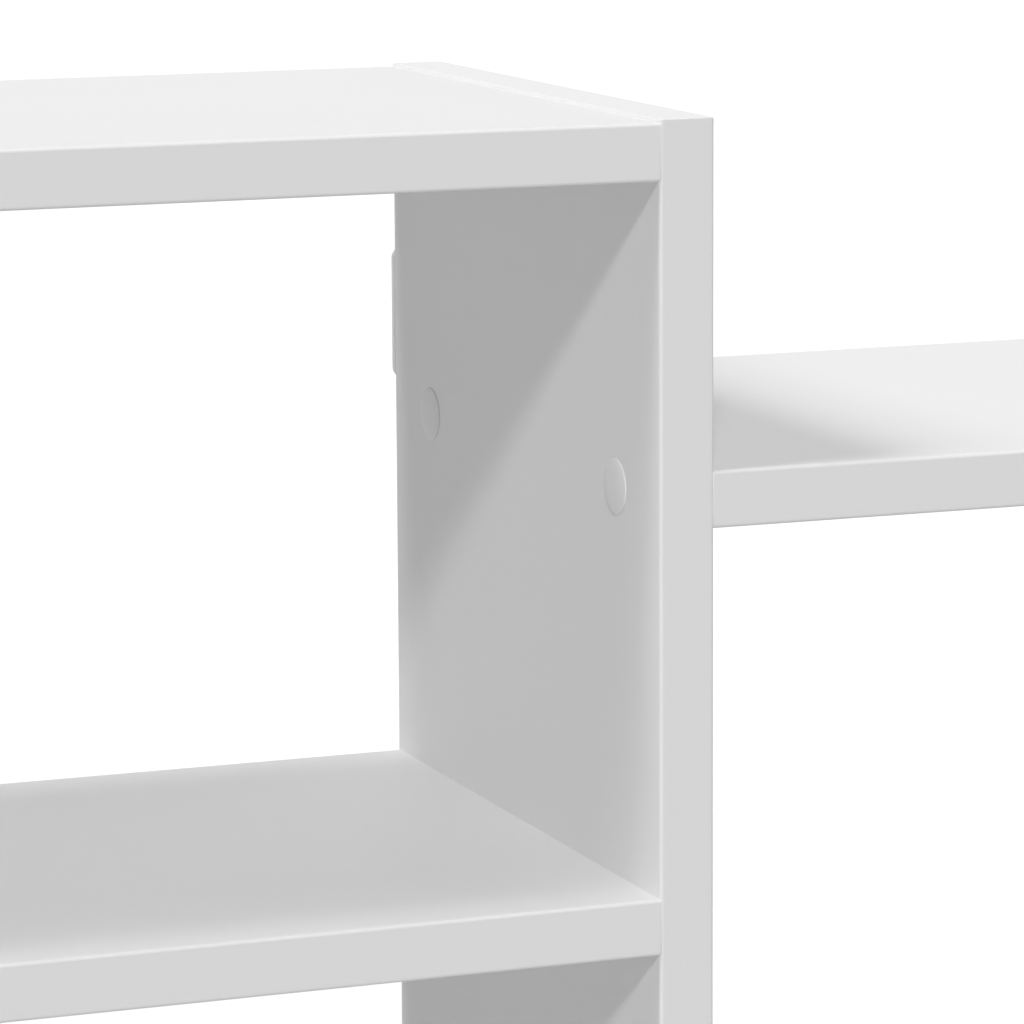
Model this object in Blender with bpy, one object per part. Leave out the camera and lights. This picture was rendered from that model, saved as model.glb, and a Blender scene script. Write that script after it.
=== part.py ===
"""Wall shelf of white melamine boards: a tower of two open compartments and a single one beside it.

All sizes are in metres. X runs along the wall, Y runs from the front edges towards the wall and
Z is up. The origin is under the middle of the shelf, level with the lower ends of the tower.
"""

import math

import bmesh
import bpy
from mathutils import Matrix

# Boards and uprights
BOARD_THICKNESS = 0.015
UPRIGHT_DEPTH = 0.200
BOARD_BACK_INSET = 0.001
TOWER_CLEAR_WIDTH = 0.4025
TOWER_CLEAR_HEIGHT = 0.1855
SIDE_CLEAR_WIDTH = 0.4025
SIDE_DROP = 0.0895
UPRIGHT_PROUD = 0.00085
EDGE_RADIUS = 0.001
END_CHAMFER = 0.0003
SEAT_GAP = 0.0003

# Connecting screws with a countersunk head and a hexagon socket
SCREW_INSET = 0.030
SCREW_LENGTH = 0.050
SCREW_HEAD_RADIUS = 0.005
SCREW_HEAD_RIM = 0.0008
SCREW_HEAD_RECESS = 0.0004
SCREW_NECK_RADIUS = 0.0035
SCREW_NECK_LENGTH = 0.010
SCREW_CORE_RADIUS = 0.0028
SCREW_POINT_LENGTH = 0.004
SCREW_POINT_RADIUS = 0.001
SOCKET_ACROSS = 0.004
SOCKET_DEPTH = 0.005

# Domed caps over the screw heads, with a stem that stands in the socket
CAP_RADIUS = 0.0075
CAP_RIM_HEIGHT = 0.0003
CAP_DOME_HEIGHT = 0.0009
CAP_DOME_POWER = 3
CAP_STEM_CLEARANCE = 0.001

# Keyhole plates on the back edges of the uprights
HANGER_DROP = 0.0725
HANGER_HEIGHT = 0.038
HANGER_THICKNESS = 0.0022
HANGER_CORNER_RADIUS = 0.003
HANGER_EDGE_CHAMFER = 0.0003
KEYHOLE_ENTRY_RADIUS = 0.0043
KEYHOLE_ENTRY_DROP = 0.004
KEYHOLE_SLOT_RADIUS = 0.0023
KEYHOLE_SLOT_RISE = 0.0055
POCKET_CLEARANCE = 0.0007
POCKET_DEPTH = 0.010

# Countersunk screws that hold the keyhole plates
HANGER_SCREW_INSET = 0.0045
HANGER_SCREW_LENGTH = 0.016
HANGER_SCREW_HEAD_RADIUS = 0.003
HANGER_SCREW_HEAD_RIM = 0.0003
HANGER_SCREW_RECESS = 0.0002
HANGER_SCREW_CORE_RADIUS = 0.0012
HANGER_SCREW_POINT_LENGTH = 0.002

# Facets round each turned piece, and how far a cutter runs past a face
CAP_STEPS = 16
CAP_DOME_RINGS = 3
SCREW_STEPS = 12
HANGER_SCREW_STEPS = 10
ARC_SEGMENTS = 6
EDGE_SEGMENTS = 3
CUTTER_OVERRUN = 0.002
MERGE_DISTANCE = 1e-6

# Places that follow from the sizes above
TOWER_HEIGHT = 3 * BOARD_THICKNESS + 2 * TOWER_CLEAR_HEIGHT + 2 * UPRIGHT_PROUD
SIDE_HEIGHT = TOWER_HEIGHT - 2 * SIDE_DROP
TOTAL_WIDTH = 3 * BOARD_THICKNESS + TOWER_CLEAR_WIDTH + SIDE_CLEAR_WIDTH
TOTAL_DEPTH = UPRIGHT_DEPTH + SEAT_GAP + HANGER_THICKNESS
FRONT_Y = -TOTAL_DEPTH / 2
UPRIGHT_BACK_Y = FRONT_Y + UPRIGHT_DEPTH
HANGER_BACK_Y = FRONT_Y + TOTAL_DEPTH
LEFT_X = (BOARD_THICKNESS - TOTAL_WIDTH) / 2
MIDDLE_X = LEFT_X + BOARD_THICKNESS + TOWER_CLEAR_WIDTH
RIGHT_X = MIDDLE_X + BOARD_THICKNESS + SIDE_CLEAR_WIDTH
SIDE_TOP_Z = TOWER_HEIGHT - SIDE_DROP

# Each upright: its centre along X, its lower end and its height
UPRIGHTS = {
    "left": (LEFT_X, 0.0, TOWER_HEIGHT),
    "middle": (MIDDLE_X, 0.0, TOWER_HEIGHT),
    "right": (RIGHT_X, SIDE_DROP, SIDE_HEIGHT),
}

# Each board: the uprights at its left and right ends, and the height of its middle
TOWER_TOP_Z = TOWER_HEIGHT - UPRIGHT_PROUD - BOARD_THICKNESS / 2
SIDE_TOP_BOARD_Z = SIDE_TOP_Z - UPRIGHT_PROUD - BOARD_THICKNESS / 2
BOARDS = {
    "tower_top": ("left", "middle", TOWER_TOP_Z),
    "tower_middle": ("left", "middle", TOWER_HEIGHT / 2),
    "tower_bottom": ("left", "middle", TOWER_HEIGHT - TOWER_TOP_Z),
    "side_top": ("middle", "right", SIDE_TOP_BOARD_Z),
    "side_bottom": ("middle", "right", TOWER_HEIGHT - SIDE_TOP_BOARD_Z),
}

# The screws of a board's end, from the front edge backwards
SCREW_PLACES = {
    "front": FRONT_Y + SCREW_INSET,
    "rear": UPRIGHT_BACK_Y - SCREW_INSET,
}


def make_material(name, colour, roughness, metallic):
    material = bpy.data.materials.new(name)
    material.use_nodes = True
    shader = material.node_tree.nodes["Principled BSDF"]
    shader.inputs["Base Color"].default_value = (*colour, 1.0)
    shader.inputs["Roughness"].default_value = roughness
    shader.inputs["Metallic"].default_value = metallic
    return material


def to_mesh(bm, name, material):
    """Turns a bmesh into a mesh that is smooth over its small angles."""
    mesh = bpy.data.meshes.new(name)
    bm.to_mesh(mesh)
    bm.free()
    mesh.materials.append(material)
    mesh.shade_smooth()
    mesh.set_sharp_from_angle(angle=math.radians(35))
    return mesh


def place(name, mesh, root, placement):
    """Adds an object that shows the mesh at its place, as a child of the root empty."""
    piece = bpy.data.objects.new(name, mesh)
    bpy.context.scene.collection.objects.link(piece)
    piece.parent = root
    piece.matrix_basis = placement
    return piece


def edges_along(bm, axis):
    return [e for e in bm.edges if abs((e.verts[0].co - e.verts[1].co)[axis]) > MERGE_DISTANCE]


def edges_at_ends(bm, axis, half_length):
    """The edges that lie in the two end faces square to the axis."""
    return [
        e
        for e in bm.edges
        if all(abs(abs(v.co[axis]) - half_length) < MERGE_DISTANCE for v in e.verts)
    ]


def bevel(bm, edges, size, segments):
    bmesh.ops.bevel(
        bm,
        geom=edges,
        offset=size,
        offset_type="OFFSET",
        segments=segments,
        profile=0.5,
        affect="EDGES",
        material=-1,
    )


def block(size, axis, corner, corner_segments, chamfer):
    """A block whose edges along one axis are rounded and whose end edges are chamfered."""
    bm = bmesh.new()
    bmesh.ops.create_cube(bm, size=1.0, matrix=Matrix.Diagonal((*size, 1.0)))
    bevel(bm, edges_along(bm, axis), corner, corner_segments)
    bevel(bm, edges_at_ends(bm, axis, size[axis] / 2), chamfer, 1)
    return bm


def revolve(profile, steps):
    """Turns (radius, height) points about Z. Each end of the profile is on the axis or left open."""
    bm = bmesh.new()
    verts = [bm.verts.new((radius, 0.0, height)) for radius, height in profile]
    edges = [bm.edges.new(pair) for pair in zip(verts, verts[1:])]
    bmesh.ops.spin(
        bm,
        geom=verts + edges,
        cent=(0.0, 0.0, 0.0),
        axis=(0.0, 0.0, 1.0),
        angle=math.tau,
        steps=steps,
        use_merge=True,
    )
    bmesh.ops.remove_doubles(bm, verts=bm.verts, dist=MERGE_DISTANCE)
    bmesh.ops.recalc_face_normals(bm, faces=bm.faces)
    return bm


def prism(outline, start, end):
    """Extrudes an outline of (x, z) points along Y."""
    bm = bmesh.new()
    face = bm.faces.new([bm.verts.new((x, start, z)) for x, z in outline])
    grown = bmesh.ops.extrude_face_region(bm, geom=[face])
    moved = [v for v in grown["geom"] if isinstance(v, bmesh.types.BMVert)]
    bmesh.ops.translate(bm, verts=moved, vec=(0.0, end - start, 0.0))
    bmesh.ops.recalc_face_normals(bm, faces=bm.faces)
    return bm


def arc(centre_z, radius, start, end, segments):
    """Points on an arc about (0, centre_z), with both of its ends."""
    angles = [start + (end - start) * i / segments for i in range(segments + 1)]
    return [(radius * math.cos(a), centre_z + radius * math.sin(a)) for a in angles]


def cut(target, name, shapes):
    """Cuts the (bmesh, placement) shapes out of the target with one live Boolean."""
    joined = bmesh.new()
    for shape, placement in shapes:
        shape.transform(placement)
        carrier = bpy.data.meshes.new(name)
        shape.to_mesh(carrier)
        shape.free()
        joined.from_mesh(carrier)
        bpy.data.meshes.remove(carrier)
    mesh = bpy.data.meshes.new(name)
    joined.to_mesh(mesh)
    joined.free()
    cutter = bpy.data.objects.new(name, mesh)
    bpy.context.scene.collection.objects.link(cutter)
    cutter.hide_render = True
    cutter.display_type = "WIRE"
    modifier = target.modifiers.new(name, "BOOLEAN")
    modifier.operation = "DIFFERENCE"
    modifier.solver = "EXACT"
    modifier.object = cutter


def screw_cone_end():
    """How far below its top the head's cone meets the neck, at 45 degrees."""
    return SCREW_HEAD_RIM + SCREW_HEAD_RADIUS - SCREW_NECK_RADIUS


def connecting_screw():
    """The connecting screw, pointing down from the top of its head at height zero."""
    cone_end = screw_cone_end()
    neck_end = cone_end + SCREW_NECK_LENGTH
    taper = SCREW_NECK_RADIUS - SCREW_CORE_RADIUS
    bm = revolve(
        [
            (SCREW_HEAD_RADIUS, 0.0),
            (SCREW_HEAD_RADIUS, -SCREW_HEAD_RIM),
            (SCREW_NECK_RADIUS, -cone_end),
            (SCREW_NECK_RADIUS, -neck_end),
            (SCREW_CORE_RADIUS, -neck_end - taper),
            (SCREW_CORE_RADIUS, SCREW_POINT_LENGTH - SCREW_LENGTH),
            (SCREW_POINT_RADIUS, -SCREW_LENGTH),
            (0.0, -SCREW_LENGTH),
        ],
        SCREW_STEPS,
    )
    rim = [e for e in bm.edges if e.is_boundary]
    top = bmesh.ops.contextual_create(bm, geom=rim)["faces"][0]
    sink_socket(bm, top)
    bmesh.ops.recalc_face_normals(bm, faces=bm.faces)
    return bm


def sink_socket(bm, top):
    """Sinks a hexagon socket into the flat, twelve-sided top of a screw's head."""
    corner_radius = SOCKET_ACROSS / math.sqrt(3)
    bmesh.ops.inset_region(bm, faces=[top], thickness=SCREW_HEAD_RADIUS - corner_radius)
    for vert in top.verts:
        angle = math.atan2(vert.co.y, vert.co.x)
        corner = round(angle / (math.tau / SCREW_STEPS)) % 2 == 0
        radius = corner_radius if corner else SOCKET_ACROSS / 2
        vert.co.x = radius * math.cos(angle)
        vert.co.y = radius * math.sin(angle)
    floor = bmesh.ops.extrude_discrete_faces(bm, faces=[top])["faces"][0]
    bmesh.ops.translate(bm, verts=floor.verts[:], vec=(0.0, 0.0, -SOCKET_DEPTH))


def upright_bore():
    """The stepped hole for a connecting screw, down from an upright's face at height zero."""
    head = SCREW_HEAD_RADIUS + SEAT_GAP
    neck = SCREW_NECK_RADIUS + SEAT_GAP
    rim = SCREW_HEAD_RECESS + SCREW_HEAD_RIM + SEAT_GAP
    return revolve(
        [
            (0.0, CUTTER_OVERRUN),
            (head, CUTTER_OVERRUN),
            (head, -rim),
            (neck, -rim - (head - neck)),
            (neck, -BOARD_THICKNESS - CUTTER_OVERRUN),
            (0.0, -BOARD_THICKNESS - CUTTER_OVERRUN),
        ],
        SCREW_STEPS,
    )


def board_bore():
    """The blind hole in a board's end, on the axis and from the zero height of upright_bore."""
    core = SCREW_CORE_RADIUS + SEAT_GAP
    bottom = SCREW_HEAD_RECESS + SCREW_LENGTH + SEAT_GAP
    return revolve(
        [
            (0.0, -BOARD_THICKNESS + CUTTER_OVERRUN),
            (core, -BOARD_THICKNESS + CUTTER_OVERRUN),
            (core, -bottom),
            (0.0, -bottom),
        ],
        SCREW_STEPS,
    )


def screw_cap():
    """The domed cap, up from the underside of its rim at height zero, with its stem below."""
    shares = [i / CAP_DOME_RINGS for i in range(CAP_DOME_RINGS + 1)]
    dome = [
        (CAP_RADIUS * share, CAP_RIM_HEIGHT + CAP_DOME_HEIGHT * (1 - share**CAP_DOME_POWER))
        for share in shares
    ]
    stem = SOCKET_ACROSS / 2 - SEAT_GAP
    stem_end = -SEAT_GAP - SCREW_HEAD_RECESS - SOCKET_DEPTH + CAP_STEM_CLEARANCE
    rest = [
        (CAP_RADIUS, 0.0),
        (stem, 0.0),
        (stem, stem_end),
        (0.0, stem_end),
    ]
    return revolve(dome + rest, CAP_STEPS)


def hanger_screw():
    """The plate's screw, pointing down from the top of its head at height zero."""
    cone_end = HANGER_SCREW_HEAD_RIM + HANGER_SCREW_HEAD_RADIUS - HANGER_SCREW_CORE_RADIUS
    return revolve(
        [
            (0.0, 0.0),
            (HANGER_SCREW_HEAD_RADIUS, 0.0),
            (HANGER_SCREW_HEAD_RADIUS, -HANGER_SCREW_HEAD_RIM),
            (HANGER_SCREW_CORE_RADIUS, -cone_end),
            (HANGER_SCREW_CORE_RADIUS, HANGER_SCREW_POINT_LENGTH - HANGER_SCREW_LENGTH),
            (0.0, -HANGER_SCREW_LENGTH),
        ],
        HANGER_SCREW_STEPS,
    )


def hanger_screw_bore():
    """The screw's hole through the plate and into the upright, from the plate's back face."""
    head = HANGER_SCREW_HEAD_RADIUS + SEAT_GAP
    core = HANGER_SCREW_CORE_RADIUS + SEAT_GAP
    rim = HANGER_SCREW_RECESS + HANGER_SCREW_HEAD_RIM + SEAT_GAP
    bottom = HANGER_SCREW_RECESS + HANGER_SCREW_LENGTH + SEAT_GAP
    return revolve(
        [
            (0.0, CUTTER_OVERRUN),
            (head, CUTTER_OVERRUN),
            (head, -rim),
            (core, -rim - (head - core)),
            (core, -bottom),
            (0.0, -bottom),
        ],
        HANGER_SCREW_STEPS,
    )


def keyhole():
    """The keyhole through a plate, about the plate's middle: a round entry and a slot above it."""
    mouth = math.asin(KEYHOLE_SLOT_RADIUS / KEYHOLE_ENTRY_RADIUS)
    quarter = math.pi / 2
    entry = arc(
        -KEYHOLE_ENTRY_DROP,
        KEYHOLE_ENTRY_RADIUS,
        quarter + mouth,
        quarter + math.tau - mouth,
        3 * ARC_SEGMENTS,
    )
    slot = arc(KEYHOLE_SLOT_RISE, KEYHOLE_SLOT_RADIUS, 0.0, math.pi, ARC_SEGMENTS)
    return prism(
        entry + slot,
        UPRIGHT_BACK_Y - CUTTER_OVERRUN,
        HANGER_BACK_Y + CUTTER_OVERRUN,
    )


def pocket():
    """The pocket in an upright's back edge, where the head of the wall's screw slides up."""
    radius = KEYHOLE_ENTRY_RADIUS + POCKET_CLEARANCE
    lower = arc(-KEYHOLE_ENTRY_DROP, radius, math.pi, math.tau, 2 * ARC_SEGMENTS)
    upper = arc(KEYHOLE_SLOT_RISE, radius, 0.0, math.pi, 2 * ARC_SEGMENTS)
    return prism(
        lower + upper,
        UPRIGHT_BACK_Y - POCKET_DEPTH,
        UPRIGHT_BACK_Y + CUTTER_OVERRUN,
    )


def hanger_plate():
    """The keyhole plate before its holes, about its own middle, as wide as a board is thick."""
    return block(
        (BOARD_THICKNESS, HANGER_THICKNESS, HANGER_HEIGHT),
        1,
        HANGER_CORNER_RADIUS,
        ARC_SEGMENTS,
        HANGER_EDGE_CHAMFER,
    )


def facing_x(side, x, y, z):
    """A placement whose local Z points along +X (side 1) or -X (side -1)."""
    return Matrix.Translation((x, y, z)) @ Matrix.Rotation(side * math.pi / 2, 4, "Y")


def facing_wall(x, y, z):
    """A placement whose local Z points at the wall."""
    return Matrix.Translation((x, y, z)) @ Matrix.Rotation(-math.pi / 2, 4, "X")


def screw_axes():
    """Each connecting screw: its name, its upright, its board, and its placement at the face."""
    found = []
    for board, (left, right, z) in BOARDS.items():
        for upright, side in ((left, -1), (right, 1)):
            face = UPRIGHTS[upright][0] + side * BOARD_THICKNESS / 2
            for depth, y in SCREW_PLACES.items():
                label = f"{board}_{upright}_{depth}"
                found.append((label, upright, board, facing_x(side, face, y, z)))
    return found


def hanger_middle_z(upright):
    _, bottom, height = UPRIGHTS[upright]
    return bottom + height - HANGER_DROP


def hanger_screw_places(upright):
    """The plate's two screws, at its upper and lower ends, placed at its back face."""
    reach = HANGER_HEIGHT / 2 - HANGER_SCREW_INSET
    x = UPRIGHTS[upright][0]
    middle = hanger_middle_z(upright)
    return {
        "upper": facing_wall(x, HANGER_BACK_Y, middle + reach),
        "lower": facing_wall(x, HANGER_BACK_Y, middle - reach),
    }


def make_uprights(root, material, axes):
    for name, (x, bottom, height) in UPRIGHTS.items():
        size = (BOARD_THICKNESS, UPRIGHT_DEPTH, height)
        mesh = to_mesh(block(size, 2, EDGE_RADIUS, EDGE_SEGMENTS, END_CHAMFER), name, material)
        middle = Matrix.Translation((x, FRONT_Y + UPRIGHT_DEPTH / 2, bottom + height / 2))
        upright = place(f"{name}_upright", mesh, root, middle)
        bores = [(upright_bore(), at) for _, at_upright, _, at in axes if at_upright == name]
        bores.append((pocket(), Matrix.Translation((x, 0.0, hanger_middle_z(name)))))
        bores += [(hanger_screw_bore(), at) for at in hanger_screw_places(name).values()]
        cut(upright, f"{name}_upright_cutter", bores)


def make_boards(root, material, axes):
    depth = UPRIGHT_DEPTH - BOARD_BACK_INSET
    for name, (left, right, z) in BOARDS.items():
        start = UPRIGHTS[left][0] + BOARD_THICKNESS / 2 + SEAT_GAP
        end = UPRIGHTS[right][0] - BOARD_THICKNESS / 2 - SEAT_GAP
        size = (end - start, depth, BOARD_THICKNESS)
        mesh = to_mesh(block(size, 0, EDGE_RADIUS, EDGE_SEGMENTS, END_CHAMFER), name, material)
        middle = Matrix.Translation(((start + end) / 2, FRONT_Y + depth / 2, z))
        board = place(f"{name}_board", mesh, root, middle)
        bores = [(board_bore(), at) for _, _, at_board, at in axes if at_board == name]
        cut(board, f"{name}_board_cutter", bores)


def make_screws_and_caps(root, screw_material, cap_material, axes):
    screw_mesh = to_mesh(connecting_screw(), "connecting_screw", screw_material)
    cap_mesh = to_mesh(screw_cap(), "screw_cap", cap_material)
    sunk = Matrix.Translation((0.0, 0.0, -SCREW_HEAD_RECESS))
    seated = Matrix.Translation((0.0, 0.0, SEAT_GAP))
    for label, _, _, at in axes:
        place(f"screw_{label}", screw_mesh, root, at @ sunk)
        place(f"cap_{label}", cap_mesh, root, at @ seated)


def make_hangers(root, plate_material, screw_material):
    plate_mesh = to_mesh(hanger_plate(), "keyhole_plate", plate_material)
    screw_mesh = to_mesh(hanger_screw(), "hanger_screw", screw_material)
    sunk = Matrix.Translation((0.0, 0.0, -HANGER_SCREW_RECESS))
    for name, (x, _, _) in UPRIGHTS.items():
        z = hanger_middle_z(name)
        middle = Matrix.Translation((x, HANGER_BACK_Y - HANGER_THICKNESS / 2, z))
        plate = place(f"{name}_hanger", plate_mesh, root, middle)
        screws = hanger_screw_places(name)
        bores = [(hanger_screw_bore(), at) for at in screws.values()]
        bores.append((keyhole(), Matrix.Translation((x, 0.0, z))))
        cut(plate, f"{name}_hanger_cutter", bores)
        for end, at in screws.items():
            place(f"{name}_hanger_screw_{end}", screw_mesh, root, at @ sunk)


def main():
    for old in list(bpy.data.objects):
        bpy.data.objects.remove(old)
    root = bpy.data.objects.new("wall_shelf", None)
    bpy.context.scene.collection.objects.link(root)
    melamine = make_material("white_melamine", (0.86, 0.86, 0.86), 0.5, 0.0)
    plastic = make_material("white_plastic", (0.86, 0.86, 0.86), 0.4, 0.0)
    zinc = make_material("zinc_plated_steel", (0.62, 0.62, 0.60), 0.35, 1.0)
    painted = make_material("painted_steel", (0.80, 0.80, 0.80), 0.45, 0.0)
    axes = screw_axes()
    make_uprights(root, melamine, axes)
    make_boards(root, melamine, axes)
    make_screws_and_caps(root, zinc, plastic, axes)
    make_hangers(root, painted, zinc)


main()
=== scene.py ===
# White melamine wall shelf: fine edges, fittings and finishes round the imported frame.
# Metres; X runs along the wall, Y from the front edges to the wall, Z is up.
import math

import bmesh
import bpy
from mathutils import Euler, Matrix, Vector


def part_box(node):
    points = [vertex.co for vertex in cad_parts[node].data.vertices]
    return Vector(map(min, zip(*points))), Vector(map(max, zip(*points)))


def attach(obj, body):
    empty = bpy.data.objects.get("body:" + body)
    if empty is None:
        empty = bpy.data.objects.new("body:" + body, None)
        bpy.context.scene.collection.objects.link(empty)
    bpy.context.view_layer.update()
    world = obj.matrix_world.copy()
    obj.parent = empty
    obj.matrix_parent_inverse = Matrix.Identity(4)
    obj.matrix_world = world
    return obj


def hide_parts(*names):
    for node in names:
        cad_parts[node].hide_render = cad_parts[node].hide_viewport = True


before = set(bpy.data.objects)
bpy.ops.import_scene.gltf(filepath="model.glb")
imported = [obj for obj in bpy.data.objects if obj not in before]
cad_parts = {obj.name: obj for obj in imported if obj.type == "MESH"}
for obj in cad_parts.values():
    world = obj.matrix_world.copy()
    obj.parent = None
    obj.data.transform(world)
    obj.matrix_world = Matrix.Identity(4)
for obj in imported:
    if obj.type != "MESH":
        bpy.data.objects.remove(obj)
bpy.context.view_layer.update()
body = "root"
sides = ("left", "middle", "right")
boards = ("tower_top", "tower_middle", "tower_bottom", "side_top", "side_bottom")
mm = 0.001
mergeDistance = 0.000001
print("frame loaded:", len(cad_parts), "nodes")


# Materials. Every pattern reads Object coordinates, so it stays on the piece from any side.
white = (0.86, 0.86, 0.86)
noiseLow, noiseHigh = 0.3, 0.7    # most of a noise pattern lies between these two


def startMaterial(name, metallic=0.0, specular=0.5):
    material = bpy.data.materials.new(name)
    material.use_nodes = True
    tree = material.node_tree
    shader = tree.nodes["Principled BSDF"]
    shader.inputs["Metallic"].default_value = metallic
    shader.inputs["Specular IOR Level"].default_value = specular
    where = tree.nodes.new("ShaderNodeTexCoord").outputs["Object"]
    return material, tree, shader, where


def stretched(tree, where, scale):
    mapping = tree.nodes.new("ShaderNodeMapping")
    mapping.inputs["Scale"].default_value = scale
    tree.links.new(where, mapping.inputs["Vector"])
    return mapping.outputs["Vector"]


def noise(tree, where, size, detail=2.0):
    # size is about the width of one spot, in metres
    texture = tree.nodes.new("ShaderNodeTexNoise")
    texture.inputs["Scale"].default_value = 1.0 / size
    texture.inputs["Detail"].default_value = detail
    tree.links.new(where, texture.inputs["Vector"])
    return texture.outputs["Fac"]


def between(tree, value, low, high, fromLow=noiseLow, fromHigh=noiseHigh):
    spread = tree.nodes.new("ShaderNodeMapRange")
    spread.inputs["From Min"].default_value = fromLow
    spread.inputs["From Max"].default_value = fromHigh
    spread.inputs["To Min"].default_value = low
    spread.inputs["To Max"].default_value = high
    tree.links.new(value, spread.inputs["Value"])
    return spread.outputs["Result"]


def tinted(tree, value, dark, light):
    ramp = tree.nodes.new("ShaderNodeValToRGB")
    ends = ramp.color_ramp.elements
    ends[0].position = noiseLow
    ends[0].color = (*dark, 1.0)
    ends[1].position = noiseHigh
    ends[1].color = (*light, 1.0)
    tree.links.new(value, ramp.inputs["Fac"])
    return ramp.outputs["Color"]


def shade(colour, factor):
    return tuple(min(1.0, channel * factor) for channel in colour)


def uneven(tree, value, colour, spread):
    # The colour, by turns a little darker and a little lighter
    return tinted(tree, value, shade(colour, 1 - spread), shade(colour, 1 + spread))


def raised(tree, shader, height, distance):
    bump = tree.nodes.new("ShaderNodeBump")
    bump.inputs["Distance"].default_value = distance
    bump.inputs["Strength"].default_value = 1.0
    tree.links.new(height, bump.inputs["Height"])
    tree.links.new(bump.outputs["Normal"], shader.inputs["Normal"])


foilFinish = {
    "specular": 0.3,
    "toneSize": 90 * mm,
    "toneSpread": 0.005,
    "sheenSize": 4 * mm,
    "roughness": (0.50, 0.58),
    "pearlSize": 0.9 * mm,
    "pearlHeight": 0.010 * mm,
    "detail": 3.0,
}


def melamineFoil():
    # Pressed foil: a faint pearl grain under a soft satin sheen, with barely uneven tone
    f = foilFinish
    material, tree, shader, where = startMaterial("melamineFoil", specular=f["specular"])
    tone = noise(tree, where, f["toneSize"], f["detail"])
    tree.links.new(uneven(tree, tone, white, f["toneSpread"]), shader.inputs["Base Color"])
    sheen = noise(tree, where, f["sheenSize"])
    tree.links.new(between(tree, sheen, *f["roughness"]), shader.inputs["Roughness"])
    grain = noise(tree, where, f["pearlSize"], f["detail"])
    raised(tree, shader, grain, f["pearlHeight"])
    return material


edgingFinish = {
    "specular": 0.3,
    "lineWidth": 0.35 * mm,
    "lineScale": 0.02,    # along the edge, so that the spots become long lines
    "lineHeight": 0.003 * mm,
    "toneSpread": 0.003,
    "roughness": (0.42, 0.50),
}


def edgeBand(name, along):
    # Edging strip: smoother than the foil, with fine scraper lines along its length
    f = edgingFinish
    material, tree, shader, where = startMaterial(name, specular=f["specular"])
    scale = [1.0, 1.0, 1.0]
    scale[along] = f["lineScale"]
    lines = noise(tree, stretched(tree, where, scale), f["lineWidth"])
    tree.links.new(uneven(tree, lines, white, f["toneSpread"]), shader.inputs["Base Color"])
    tree.links.new(between(tree, lines, *f["roughness"]), shader.inputs["Roughness"])
    raised(tree, shader, lines, f["lineHeight"])
    return material


chipboardFinish = {
    "specular": 0.2,
    "flakeSize": 1.4 * mm,
    "flakeHeight": 0.15 * mm,
    "flakeColours": ((0.36, 0.24, 0.13), (0.62, 0.47, 0.30)),
    "drySize": 3 * mm,
    "roughness": (0.80, 0.95),
}


def rawChipboard():
    # Pressed flakes of wood, seen only inside the bores and pockets
    f = chipboardFinish
    material, tree, shader, where = startMaterial("rawChipboard", specular=f["specular"])
    cells = tree.nodes.new("ShaderNodeTexVoronoi")
    cells.inputs["Scale"].default_value = 1.0 / f["flakeSize"]
    tree.links.new(where, cells.inputs["Vector"])
    flakes = tinted(tree, cells.outputs["Distance"], *f["flakeColours"])
    tree.links.new(flakes, shader.inputs["Base Color"])
    dry = noise(tree, where, f["drySize"])
    tree.links.new(between(tree, dry, *f["roughness"]), shader.inputs["Roughness"])
    raised(tree, shader, cells.outputs["Distance"], f["flakeHeight"])
    return material


plasticFinish = {
    "specular": 0.35,
    "toneSize": 5 * mm,
    "darkTone": 0.99,
    "grainSize": 0.25 * mm,
    "grainHeight": 0.006 * mm,
    "detail": 3.0,
    "roughness": (0.50, 0.60),
}


def mouldedPlastic():
    # Cap plastic: a fine spark-eroded texture
    f = plasticFinish
    material, tree, shader, where = startMaterial("mouldedPlastic", specular=f["specular"])
    tone = noise(tree, where, f["toneSize"])
    tree.links.new(tinted(tree, tone, shade(white, f["darkTone"]), white), shader.inputs["Base Color"])
    grain = noise(tree, where, f["grainSize"], f["detail"])
    tree.links.new(between(tree, grain, *f["roughness"]), shader.inputs["Roughness"])
    raised(tree, shader, grain, f["grainHeight"])
    return material


zincFinish = {
    "cloudSize": 2.5 * mm,
    "cloudColours": ((0.55, 0.56, 0.55), (0.68, 0.68, 0.65)),
    "detail": 4.0,
    "roughness": (0.26, 0.42),
    "scratchWidth": 0.3 * mm,
    "scratchScale": (1.0, 1.0, 6.0),
    "scratchHeight": 0.004 * mm,
}


def zincPlate():
    # Bright zinc on steel: small cloudy patches and fine scratches
    f = zincFinish
    material, tree, shader, where = startMaterial("zincPlate", metallic=1.0)
    clouds = noise(tree, where, f["cloudSize"], f["detail"])
    tree.links.new(tinted(tree, clouds, *f["cloudColours"]), shader.inputs["Base Color"])
    tree.links.new(between(tree, clouds, *f["roughness"]), shader.inputs["Roughness"])
    scratches = noise(tree, stretched(tree, where, f["scratchScale"]), f["scratchWidth"])
    raised(tree, shader, scratches, f["scratchHeight"])
    return material


paintFinish = {
    "toneSize": 8 * mm,
    "colours": ((0.79, 0.79, 0.79), (0.82, 0.82, 0.82)),
    "peelSize": 1.2 * mm,
    "peelHeight": 0.02 * mm,
    "detail": 1.0,
    "roughness": (0.36, 0.46),
}


def paintedSteel():
    # Stove-enamelled plate: soft orange peel
    f = paintFinish
    material, tree, shader, where = startMaterial("paintedSteel")
    tone = noise(tree, where, f["toneSize"])
    tree.links.new(tinted(tree, tone, *f["colours"]), shader.inputs["Base Color"])
    peel = noise(tree, where, f["peelSize"], f["detail"])
    tree.links.new(between(tree, peel, *f["roughness"]), shader.inputs["Roughness"])
    raised(tree, shader, peel, f["peelHeight"])
    return material


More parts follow.
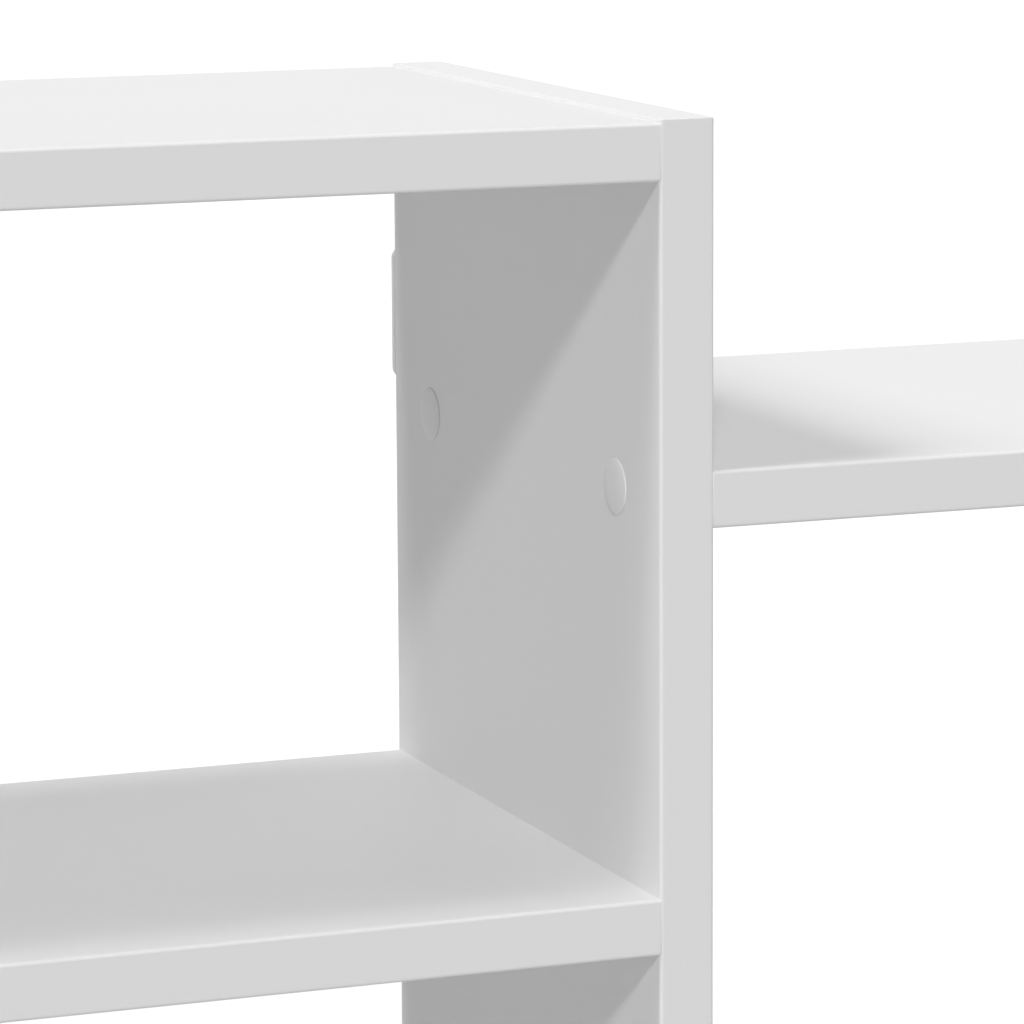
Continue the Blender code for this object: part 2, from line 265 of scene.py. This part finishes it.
foil = melamineFoil()
bandUpright = edgeBand("edgeBandUpright", 2)
bandBoard = edgeBand("edgeBandBoard", 0)
chipboard = rawChipboard()
plastic = mouldedPlastic()
zinc = zincPlate()
painted = paintedSteel()
print("materials made")


# Mesh helpers
boreOver = 2 * mm    # how far a bore's cutter stands out of the face it cuts
slotOver = 1 * mm    # the same for slots, pockets and recesses
panelAngle = 35      # edges sharper than this many degrees stay sharp
turnedAngle = 40


def roundOff(bm, edges, radius, segments):
    bmesh.ops.bevel(bm, geom=edges, offset=radius, offset_type="OFFSET", segments=segments,
                    profile=0.5, affect="EDGES", material=-1)


def edgesAlong(bm, axis):
    return [e for e in bm.edges if abs((e.verts[0].co - e.verts[1].co)[axis]) > mergeDistance]


def edgesAtEnds(bm, axis, low, high):
    return [e for e in bm.edges if any(
        all(abs(v.co[axis] - end) < mergeDistance for v in e.verts) for end in (low, high))]


def slab(low, high):
    bm = bmesh.new()
    middle = Matrix.Translation((Vector(low) + Vector(high)) / 2)
    size = Matrix.Diagonal((*(Vector(high) - Vector(low)), 1.0))
    bmesh.ops.create_cube(bm, size=1.0, matrix=middle @ size)
    return bm


def turned(profile, steps):
    # Turns (radius, height) points about Z; both ends of the profile are on the axis
    bm = bmesh.new()
    points = [bm.verts.new((radius, 0.0, height)) for radius, height in profile]
    lines = [bm.edges.new(pair) for pair in zip(points, points[1:])]
    bmesh.ops.spin(bm, geom=points + lines, cent=(0, 0, 0), axis=(0, 0, 1), angle=math.tau,
                   steps=steps, use_merge=True)
    bmesh.ops.remove_doubles(bm, verts=bm.verts, dist=mergeDistance)
    bmesh.ops.recalc_face_normals(bm, faces=bm.faces)
    return bm


def joined(shapes):
    whole = bmesh.new()
    for shape in shapes:
        carrier = bpy.data.meshes.new("carrier")
        shape.to_mesh(carrier)
        shape.free()
        whole.from_mesh(carrier)
        bpy.data.meshes.remove(carrier)
    return whole


def placed(bm, where):
    bmesh.ops.transform(bm, matrix=where, verts=bm.verts)
    return bm


def newObject(name, bm, materials):
    mesh = bpy.data.meshes.new(name)
    bm.to_mesh(mesh)
    bm.free()
    for material in materials:
        mesh.materials.append(material)
    piece = bpy.data.objects.new(name, mesh)
    bpy.context.scene.collection.objects.link(piece)
    return piece


def copyOf(source, name, where):
    mesh = source.data.copy()
    mesh.name = name
    mesh.transform(where)
    piece = bpy.data.objects.new(name, mesh)
    bpy.context.scene.collection.objects.link(piece)
    return piece


def dropObject(piece):
    mesh = piece.data
    bpy.data.objects.remove(piece)
    bpy.data.meshes.remove(mesh)


def settle(piece):
    # Turns what the modifiers make into the piece's own mesh
    graph = bpy.context.evaluated_depsgraph_get()
    made = bpy.data.meshes.new_from_object(piece.evaluated_get(graph), preserve_all_data_layers=True,
                                           depsgraph=graph)
    piece.modifiers.clear()
    old = piece.data
    piece.data = made
    bpy.data.meshes.remove(old)
    made.name = piece.name


def cutOut(piece, shapes, materialIndex):
    # Cuts the shapes out of the piece; the new walls take the material of that index
    bm = joined(shapes)
    for face in bm.faces:
        face.material_index = materialIndex
    cutter = newObject("cutter", bm, list(piece.data.materials))
    cut = piece.modifiers.new("cut", "BOOLEAN")
    cut.operation = "DIFFERENCE"
    cut.solver = "EXACT"
    cut.object = cutter
    settle(piece)
    dropObject(cutter)


def smooth(piece, angle):
    # Round stretches shade smoothly and large flats stay flat
    piece.data.shade_smooth()
    piece.data.set_sharp_from_angle(angle=math.radians(angle))
    weighted = piece.modifiers.new("weighted", "WEIGHTED_NORMAL")
    weighted.keep_sharp = True
    settle(piece)


def hand(piece, slot, *nodes):
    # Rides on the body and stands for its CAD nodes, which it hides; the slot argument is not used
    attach(piece, body)
    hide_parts(*nodes)
    return piece


# Connecting screws: their axes, read from the caps that cover them
def axisOf(label):
    capLow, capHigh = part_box("cap_" + label)
    upright = label.split("_")[-2] + "_upright"
    low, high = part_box(upright)
    outward = 1 if capLow.x + capHigh.x > low.x + high.x else -1
    face = high.x if outward > 0 else low.x
    middle = (capLow + capHigh) / 2
    turn = Matrix.Rotation(outward * math.pi / 2, 4, "Y")
    return upright, Matrix.Translation((face, middle.y, middle.z)) @ turn


labels = sorted(name.removeprefix("cap_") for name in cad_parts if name.startswith("cap_"))
axes = {label: axisOf(label) for label in labels}

connector = {
    "length": 50.0 * mm,
    "headRadius": 5.0 * mm,
    "headBreak": 0.2 * mm,
    "headRim": 0.8 * mm,
    "recess": 0.4 * mm,
    "neckRadius": 3.5 * mm,
    "neckEnd": 12.3 * mm,
    "coreRadius": 2.4 * mm,
    "pointLength": 5.0 * mm,
    "tipRadius": 0.6 * mm,
    "threadRadius": 3.3 * mm,
    "threadPitch": 3.0 * mm,
    "threadWidth": 1.1 * mm,
    "threadCrest": 0.1 * mm,
    "threadRoot": 0.1 * mm,       # how deep the ridge stands in the core
    "threadStart": 2.0 * mm,      # down from the neck's end
    "threadStop": 1.0 * mm,       # up from the point
    "stepsEachTurn": 24,
    "socketAcross": 4.0 * mm,
    "socketDepth": 5.0 * mm,
    "boreDepth": 22.0 * mm,       # well through the upright
    "clearance": 0.15 * mm,
    "steps": 40,
}


def connectorBore():
    # The stepped hole through an upright, down from its face at height zero
    c = connector
    head = c["headRadius"] + c["clearance"]
    neck = c["neckRadius"] + c["clearance"]
    rim = c["recess"] + c["headRim"] + c["clearance"]
    profile = [(0, boreOver), (head, boreOver), (head, -rim), (neck, -rim - head + neck),
               (neck, -c["boreDepth"]), (0, -c["boreDepth"])]
    return turned(profile, c["steps"])


def connectorPilot(thickness):
    # The blind hole in a board's end
    c = connector
    core = c["coreRadius"] + c["clearance"]
    mouth = boreOver - thickness
    bottom = c["recess"] + c["length"] + c["clearance"]
    return turned([(0, mouth), (core, mouth), (core, -bottom), (0, -bottom)], c["steps"])


def connectorScrew():
    # Countersunk head with a hexagon socket, plain neck and bare core, down from height zero
    c = connector
    coneEnd = c["headRim"] + c["headRadius"] - c["neckRadius"]
    taper = c["neckRadius"] - c["coreRadius"]
    head = [(0, 0), (c["headRadius"] - c["headBreak"], 0), (c["headRadius"], -c["headBreak"]),
            (c["headRadius"], -c["headRim"])]
    neck = [(c["neckRadius"], -coneEnd), (c["neckRadius"], -c["neckEnd"])]
    core = [(c["coreRadius"], -c["neckEnd"] - taper), (c["coreRadius"], c["pointLength"] - c["length"])]
    point = [(c["tipRadius"], -c["length"]), (0, -c["length"])]
    screw = newObject("bareScrew", turned(head + neck + core + point, c["steps"]), [zinc])
    socket = bmesh.new()
    corner = c["socketAcross"] / math.sqrt(3)
    bmesh.ops.create_cone(socket, cap_ends=True, segments=6, radius1=corner, radius2=corner,
                          depth=2 * c["socketDepth"])
    cutOut(screw, [socket], 0)
    return screw


def screwThread():
    # One ridge wound round the core, from a narrow wedge spun down the shank
    c = connector
    bm = bmesh.new()
    start = -c["neckEnd"] - c["threadStart"]
    run = c["length"] - c["pointLength"] + start - c["threadStop"]
    turns = run / c["threadPitch"]
    half = c["threadWidth"] / 2
    crest = c["threadCrest"] / 2
    inside = c["coreRadius"] - c["threadRoot"]
    wedge = [(inside, start + half), (c["threadRadius"], start + crest),
             (c["threadRadius"], start - crest), (inside, start - half)]
    corners = [bm.verts.new((radius, 0, height)) for radius, height in wedge]
    ridge = bm.faces.new(corners)
    steps = round(turns * c["stepsEachTurn"])
    bmesh.ops.spin(bm, geom=[ridge] + ridge.edges[:] + corners, cent=(0, 0, 0), axis=(0, 0, 1),
                   dvec=(0, 0, -run / steps), angle=turns * math.tau, steps=steps)
    bmesh.ops.recalc_face_normals(bm, faces=bm.faces)
    return bm


# Uprights and boards
panel = {
    "edgeRadius": 1.0 * mm,
    "edgeSegments": 8,
    "endRadius": 0.3 * mm,
    "endSegments": 3,
    "joint": 0.02 * mm,      # left between a board's end and the upright
    "lap": 0.9 * mm,         # how far a board's end reaches over the upright's rounded edge
    "flatNormal": 0.999,     # a wide face's normal has at least this much along its own axis
}

# The keyhole plate, and the pocket behind it for the head of the wall's screw
keyPlate = {
    "entryRadius": 4.3 * mm,
    "entryDrop": 4.0 * mm,
    "entryCut": 12.0 * mm,
    "entrySteps": 48,
    "slotRadius": 2.3 * mm,
    "slotRise": 5.5 * mm,
    "slotSegments": 16,
    "slotRound": 0.9995,     # just under a half circle, so that the rounded corners never meet
    "pocketClearance": 0.7 * mm,
    "pocketDepth": 10.0 * mm,
    "cornerRadius": 3.0 * mm,
    "cornerSegments": 10,
    "edgeRadius": 0.4 * mm,
    "edgeSegments": 4,
    "seat": 0.02 * mm,
}

# The plate's own countersunk screws
plateScrew = {
    "length": 16.0 * mm,
    "headRadius": 3.0 * mm,
    "headBreak": 0.1 * mm,
    "rim": 0.3 * mm,
    "recess": 0.2 * mm,
    "coreRadius": 1.2 * mm,
    "pointLength": 3.0 * mm,
    "crossLength": 3.4 * mm,
    "crossWidth": 0.7 * mm,
    "crossDepth": 1.6 * mm,
    "crossTaper": (0.35, 0.6, 1),
    "inset": 4.5 * mm,       # from the plate's upper and lower end
    "clearance": 0.12 * mm,
    "boreSteps": 48,
    "steps": 40,
}


def bandFaces(bm, facing):
    # Everything but the two wide faces is edging
    bm.normal_update()
    for face in bm.faces:
        face.material_index = 0 if abs(face.normal[facing]) > panel["flatNormal"] else 1


def roundedSlab(low, high, *along):
    # A slab whose edges along the given axes are rounded
    bm = slab(low, high)
    edges = [edge for axis in along for edge in edgesAlong(bm, axis)]
    roundOff(bm, edges, panel["edgeRadius"], panel["edgeSegments"])
    return bm


def stadium(radius, bottom, top, start, end):
    # A slot with round ends, standing in X and Z, from start to end along Y
    bm = slab((-radius, start, bottom - radius), (radius, end, top + radius))
    roundOff(bm, edgesAlong(bm, 1), radius * keyPlate["slotRound"], keyPlate["slotSegments"])
    return bm


def plateCentre(side):
    low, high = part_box(side + "_hanger")
    return (low + high) / 2


def plateScrewBore():
    s = plateScrew
    head = s["headRadius"] + s["clearance"]
    core = s["coreRadius"] + s["clearance"]
    rim = s["recess"] + s["rim"] + s["clearance"]
    bottom = s["length"] + s["recess"] + s["clearance"]
    profile = [(0, boreOver), (head, boreOver), (head, -rim), (core, -rim - head + core),
               (core, -bottom), (0, -bottom)]
    return turned(profile, s["boreSteps"])


def plateScrewPlaces(side):
    low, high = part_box(side + "_hanger")
    middle = plateCentre(side)
    toWall = Matrix.Rotation(-math.pi / 2, 4, "X")
    heights = {"upper": high.z - plateScrew["inset"], "lower": low.z + plateScrew["inset"]}
    return {end: Matrix.Translation((middle.x, high.y, z)) @ toWall for end, z in heights.items()}


def uprightPanel(side):
    node = side + "_upright"
    low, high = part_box(node)
    bm = roundedSlab(low, high, 2)
    roundOff(bm, edgesAtEnds(bm, 2, low.z, high.z), panel["endRadius"], panel["endSegments"])
    bandFaces(bm, 0)
    piece = newObject(node + ".panel", bm, [foil, bandUpright, chipboard])
    bores = [placed(connectorBore(), at) for upright, at in axes.values() if upright == node]
    bores += [placed(plateScrewBore(), at) for at in plateScrewPlaces(side).values()]
    k = keyPlate
    pocket = stadium(k["entryRadius"] + k["pocketClearance"], -k["entryDrop"], k["slotRise"],
                     high.y - k["pocketDepth"], high.y + slotOver)
    middle = plateCentre(side)
    bores.append(placed(pocket, Matrix.Translation((middle.x, 0, middle.z))))
    cutOut(piece, bores, 2)
    smooth(piece, panelAngle)
    return hand(piece, "melamine", node)


def shelfBoard(name):
    node = name + "_board"
    low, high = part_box(node)
    screws = [axes[label] for label in labels if label.startswith(name)]
    nearest = {upright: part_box(upright) for upright, at in screws}
    low.x = min(b[1].x for b in nearest.values()) - panel["lap"]
    high.x = max(b[0].x for b in nearest.values()) + panel["lap"]
    bm = roundedSlab(low, high, 0, 2)
    bandFaces(bm, 2)
    piece = newObject(node + ".panel", bm, [foil, bandBoard, chipboard])
    # The ends are cut to fit round the uprights' own rounded edges
    grown = Vector([panel["joint"]] * 3)
    cutOut(piece, [roundedSlab(b[0] - grown, b[1] + grown, 2) for b in nearest.values()], 1)
    thickness = {upright: b[1].x - b[0].x for upright, b in nearest.items()}
    cutOut(piece, [placed(connectorPilot(thickness[upright]), at) for upright, at in screws], 2)
    smooth(piece, panelAngle)
    return hand(piece, "melamine", node)


for side in sides:
    uprightPanel(side)
for name in boards:
    shelfBoard(name)
print("uprights and boards made")


# Caps: a shallow dome down to a thin rounded rim, and a stem that stands in the screw's socket
cap = {
    "radius": 7.5 * mm,
    "rimHeight": 0.3 * mm,
    "rimRadius": 0.28 * mm,
    "rimBreak": 0.06 * mm,
    "domeHeight": 0.9 * mm,
    "domePower": 3,
    "stemRadius": 1.7 * mm,
    "stemLength": 4.4 * mm,
    "stemFoot": 0.3 * mm,
    "stemTip": 0.4 * mm,
    "seat": 0.02 * mm,
    "rings": 14,
    "rimSteps": 5,
    "steps": 64,
}


def domeHeight(radius):
    return cap["rimHeight"] + cap["domeHeight"] * (1 - (radius / cap["radius"]) ** cap["domePower"])


def capDome():
    c = cap
    slope = math.atan(c["domePower"] * c["domeHeight"] / c["radius"])
    edge = c["radius"] - c["rimRadius"] * (1 - math.sin(slope))
    radii = [edge * i / c["rings"] for i in range(c["rings"] + 1)]
    dome = [(radius, domeHeight(radius)) for radius in radii]
    middle = domeHeight(edge) - c["rimRadius"] * math.cos(slope)
    turns = [slope + (math.pi / 2 - slope) * i / c["rimSteps"] for i in range(1, c["rimSteps"] + 1)]
    rim = [(c["radius"] - c["rimRadius"] * (1 - math.sin(turn)), middle + c["rimRadius"] * math.cos(turn))
           for turn in turns]
    under = [(c["radius"], c["rimBreak"]), (c["radius"] - c["rimBreak"], 0),
             (c["stemRadius"] + c["stemFoot"], 0), (c["stemRadius"], -c["stemFoot"]),
             (c["stemRadius"], c["stemTip"] - c["stemLength"]),
             (c["stemRadius"] - c["stemTip"], -c["stemLength"]), (0, -c["stemLength"])]
    return turned(dome + rim + under, c["steps"])


capPattern = newObject("capPattern", capDome(), [plastic])
smooth(capPattern, turnedAngle)
seated = Matrix.Translation((0, 0, cap["seat"]))
for label, (upright, at) in axes.items():
    dome = copyOf(capPattern, "cap_" + label + ".dome", at @ seated)
    hand(dome, "cap_plastic", "cap_" + label)
dropObject(capPattern)
print("caps made:", len(axes))

bareScrew = connectorScrew()
thread = newObject("thread", screwThread(), [zinc])
screwAndThread = bmesh.new()
screwAndThread.from_mesh(bareScrew.data)
screwAndThread.from_mesh(thread.data)
screwPattern = newObject("screwPattern", screwAndThread, [zinc])
smooth(screwPattern, turnedAngle)
screwSunk = Matrix.Translation((0, 0, -connector["recess"]))
for label, (upright, at) in axes.items():
    screw = copyOf(screwPattern, "screw_" + label + ".threaded", at @ screwSunk)
    hand(screw, "zinc", "screw_" + label)
for pattern in (bareScrew, thread, screwPattern):
    dropObject(pattern)
print("connecting screws made:", len(axes))


# Keyhole plates on the back edges, and their cross-recess screws
def hangerPlate(side):
    node = side + "_hanger"
    k = keyPlate
    low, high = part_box(node)
    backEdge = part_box(side + "_upright")[1].y
    low.y = backEdge + k["seat"]
    bm = slab(low, high)
    roundOff(bm, edgesAlong(bm, 1), k["cornerRadius"], k["cornerSegments"])
    roundOff(bm, edgesAtEnds(bm, 1, low.y, high.y), k["edgeRadius"], k["edgeSegments"])
    piece = newObject(node + ".plate", bm, [painted])
    middle = (low + high) / 2
    entry = bmesh.new()
    bmesh.ops.create_cone(entry, cap_ends=True, segments=k["entrySteps"], radius1=k["entryRadius"],
                          radius2=k["entryRadius"], depth=k["entryCut"])
    entryPlace = Matrix.Translation((middle.x, middle.y, middle.z - k["entryDrop"]))
    cutOut(piece, [placed(entry, entryPlace @ Matrix.Rotation(math.pi / 2, 4, "X"))], 0)
    slot = stadium(k["slotRadius"], -k["entryDrop"], k["slotRise"], low.y - slotOver, high.y + slotOver)
    cutOut(piece, [placed(slot, Matrix.Translation((middle.x, 0, middle.z)))], 0)
    cutOut(piece, [placed(plateScrewBore(), at) for at in plateScrewPlaces(side).values()], 0)
    smooth(piece, panelAngle)
    return hand(piece, "painted_steel", node)


def crossScrew():
    # Countersunk head with a tapered cross recess, and a plain core down to a cone
    s = plateScrew
    coneEnd = s["rim"] + s["headRadius"] - s["coreRadius"]
    profile = [(0, 0), (s["headRadius"] - s["headBreak"], 0), (s["headRadius"], -s["headBreak"]),
               (s["headRadius"], -s["rim"]), (s["coreRadius"], -coneEnd),
               (s["coreRadius"], s["pointLength"] - s["length"]), (0, -s["length"])]
    screw = newObject("crossScrew", turned(profile, s["steps"]), [zinc])
    reach = s["crossLength"] / 2
    half = s["crossWidth"] / 2
    for turn in (math.pi / 4, math.pi * 3 / 4):
        wing = slab((-reach, -half, -s["crossDepth"]), (reach, half, slotOver))
        deepEnd = [v for v in wing.verts if v.co.z < 0]
        bmesh.ops.scale(wing, vec=s["crossTaper"], verts=deepEnd)
        cutOut(screw, [placed(wing, Matrix.Rotation(turn, 4, "Z"))], 0)
    smooth(screw, turnedAngle)
    return screw


crossPattern = crossScrew()
crossSunk = Matrix.Translation((0, 0, -plateScrew["recess"]))
for side in sides:
    hangerPlate(side)
    for end, at in plateScrewPlaces(side).items():
        node = side + "_hanger_screw_" + end
        hand(copyOf(crossPattern, node + ".cross", at @ crossSunk), "zinc", node)
dropObject(crossPattern)
print("hanging plates made")


# Camera at the photograph's viewing angle: metres and degrees, but millimetres for lens and sensor
cameraView = {
    "place": (-0.49907, -1.28055, 0.53160),
    "yaw": 20.9368,
    "pitch": 9.5007,
    "roll": -0.3189,
    "lens": 178.893,
    "sensor": 36.0,
    "nearest": 0.05,
    "farthest": 100.0,
}


def makeCamera():
    v = cameraView
    data = bpy.data.cameras.new("camera")
    data.lens = v["lens"]
    data.sensor_width = v["sensor"]
    data.clip_start = v["nearest"]
    data.clip_end = v["farthest"]
    camera = bpy.data.objects.new("camera", data)
    aim = Euler((math.radians(90 - v["pitch"]), 0, -math.radians(v["yaw"]))).to_matrix().to_4x4()
    roll = Matrix.Rotation(math.radians(v["roll"]), 4, "Z")
    camera.matrix_world = Matrix.Translation(v["place"]) @ aim @ roll
    bpy.context.scene.collection.objects.link(camera)
    bpy.context.scene.camera = camera


# Lamps: each has the way its light travels, its strength and the width of its disc in degrees.
# The three keys stand side by side, as one long softbox high on the left.
lamps = {
    "keyHigh": ((0.545, 0.0, -0.839), 1.01, 14),
    "keyMiddle": ((0.656, 0.13, -0.755), 0.18, 9),
    "keyLow": ((0.707, 0.02, -0.707), 0.32, 9),
    "frontLeft": ((0.40, 1.0, -0.77), 1.333, 6),
    "frontHigh": ((0.25, 0.5, -0.83), 0.067, 60),
    "frontFill": ((0.0, 1.0, 0.0), 0.180, 20),
    "rightSide": ((-0.6, -0.8, -0.015), 0.6, 3),
    "backFill": ((0.0, -1.0, 0.0), 0.10, 90),
}


def makeLamps():
    for name, (travel, strength, disc) in lamps.items():
        data = bpy.data.lights.new(name, "SUN")
        data.energy = strength
        data.angle = math.radians(disc)
        lamp = bpy.data.objects.new(name, data)
        lamp.rotation_euler = Vector(travel).to_track_quat("-Z", "Y").to_euler()
        bpy.context.scene.collection.objects.link(lamp)


# White surroundings: plain white to the eye, and a weaker even light on the shelf
surroundings = {
    "seen": 1.0,
    "ambient": 0.284,
    "floorAlbedo": 0.5,
    "floorGlow": 0.65,
    "floorSize": 30.0,
}


def seenDirectly(tree):
    # 1 for camera, glossy and transmission rays, 0 for diffuse light
    path = tree.nodes.new("ShaderNodeLightPath")
    total = path.outputs["Is Camera Ray"]
    for output in ("Is Glossy Ray", "Is Transmission Ray"):
        larger = tree.nodes.new("ShaderNodeMath")
        larger.operation = "MAXIMUM"
        tree.links.new(total, larger.inputs[0])
        tree.links.new(path.outputs[output], larger.inputs[1])
        total = larger.outputs[0]
    return total


def makeWorld():
    world = bpy.data.worlds.new("whiteStudio")
    world.use_nodes = True
    tree = world.node_tree
    background = tree.nodes["Background"]
    background.inputs["Color"].default_value = (1, 1, 1, 1)
    strength = between(tree, seenDirectly(tree), surroundings["ambient"], surroundings["seen"], 0, 1)
    tree.links.new(strength, background.inputs["Strength"])
    bpy.context.scene.world = world


def makeFloor():
    # Pale floor that reads white in the open and keeps the shelf's soft shadow
    bm = bmesh.new()
    bmesh.ops.create_grid(bm, x_segments=1, y_segments=1, size=surroundings["floorSize"] / 2)
    material = bpy.data.materials.new("paleFloor")
    material.use_nodes = True
    tree = material.node_tree
    tree.nodes.remove(tree.nodes["Principled BSDF"])
    matt = tree.nodes.new("ShaderNodeBsdfDiffuse")
    albedo = surroundings["floorAlbedo"]
    matt.inputs["Color"].default_value = (albedo, albedo, albedo, 1)
    glow = tree.nodes.new("ShaderNodeEmission")
    strength = between(tree, seenDirectly(tree), 0, surroundings["floorGlow"], 0, 1)
    tree.links.new(strength, glow.inputs["Strength"])
    both = tree.nodes.new("ShaderNodeAddShader")
    tree.links.new(matt.outputs[0], both.inputs[0])
    tree.links.new(glow.outputs[0], both.inputs[1])
    tree.links.new(both.outputs[0], tree.nodes["Material Output"].inputs["Surface"])
    newObject("floor", bm, [material])


makeCamera()
makeLamps()
makeWorld()
makeFloor()
bpy.context.scene.view_settings.view_transform = "Standard"
print("camera, lamps and floor made")
